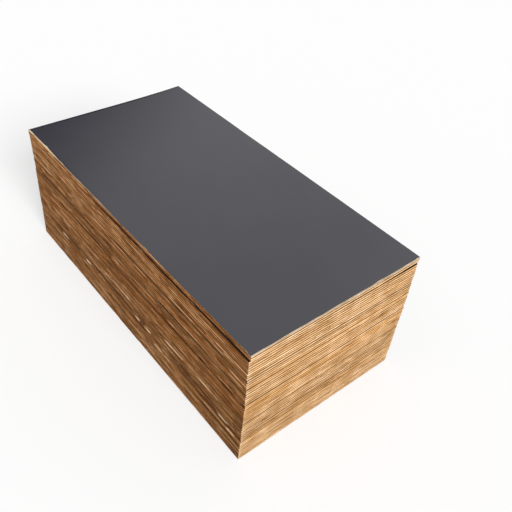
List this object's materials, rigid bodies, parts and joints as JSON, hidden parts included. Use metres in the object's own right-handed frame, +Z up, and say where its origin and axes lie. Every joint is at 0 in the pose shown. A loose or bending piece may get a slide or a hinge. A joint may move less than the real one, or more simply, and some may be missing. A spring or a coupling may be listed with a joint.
{
  "type": "stack of film-faced plywood sheets",
  "caption": "Neat flat stack of film-faced plywood sheets with dark satin faces and bare sawn edges, the topmost ones lying a little turned and curled; raw panel stock.",
  "frame": {"origin": "on the floor, under the middle of the stack", "axes": "+X along the sheets' length, +Y across them towards the long edge where the topmost sheets curl up, +Z up"},
  "size_m": [2.4558, 1.2344, 0.9063],
  "materials": {
    "film_faced_plywood": "bare sawn veneer edges, satin dark grey film on both faces"
  },
  "bodies": {
    "root": {"sheet_01": "film_faced_plywood", "sheet_02": "film_faced_plywood", "sheet_03": "film_faced_plywood", "sheet_04": "film_faced_plywood", "sheet_05": "film_faced_plywood", "sheet_06": "film_faced_plywood", "sheet_07": "film_faced_plywood", "sheet_08": "film_faced_plywood", "sheet_09": "film_faced_plywood", "sheet_10": "film_faced_plywood", "sheet_11": "film_faced_plywood", "sheet_12": "film_faced_plywood", "sheet_13": "film_faced_plywood", "sheet_14": "film_faced_plywood", "sheet_15": "film_faced_plywood", "sheet_16": "film_faced_plywood", "sheet_17": "film_faced_plywood", "sheet_18": "film_faced_plywood", "sheet_19": "film_faced_plywood", "sheet_20": "film_faced_plywood", "sheet_21": "film_faced_plywood", "sheet_22": "film_faced_plywood", "sheet_23": "film_faced_plywood", "sheet_24": "film_faced_plywood", "sheet_25": "film_faced_plywood", "sheet_26": "film_faced_plywood", "sheet_27": "film_faced_plywood", "sheet_28": "film_faced_plywood", "sheet_29": "film_faced_plywood", "sheet_30": "film_faced_plywood", "sheet_31": "film_faced_plywood", "sheet_32": "film_faced_plywood", "sheet_33": "film_faced_plywood", "sheet_34": "film_faced_plywood", "sheet_35": "film_faced_plywood", "sheet_36": "film_faced_plywood", "sheet_37": "film_faced_plywood", "sheet_38": "film_faced_plywood", "sheet_39": "film_faced_plywood", "sheet_40": "film_faced_plywood", "sheet_41": "film_faced_plywood", "sheet_42": "film_faced_plywood", "sheet_43": "film_faced_plywood", "sheet_44": "film_faced_plywood", "sheet_45": "film_faced_plywood", "sheet_46": "film_faced_plywood", "sheet_47": "film_faced_plywood", "sheet_48": "film_faced_plywood"}
  },
  "joints": []
}
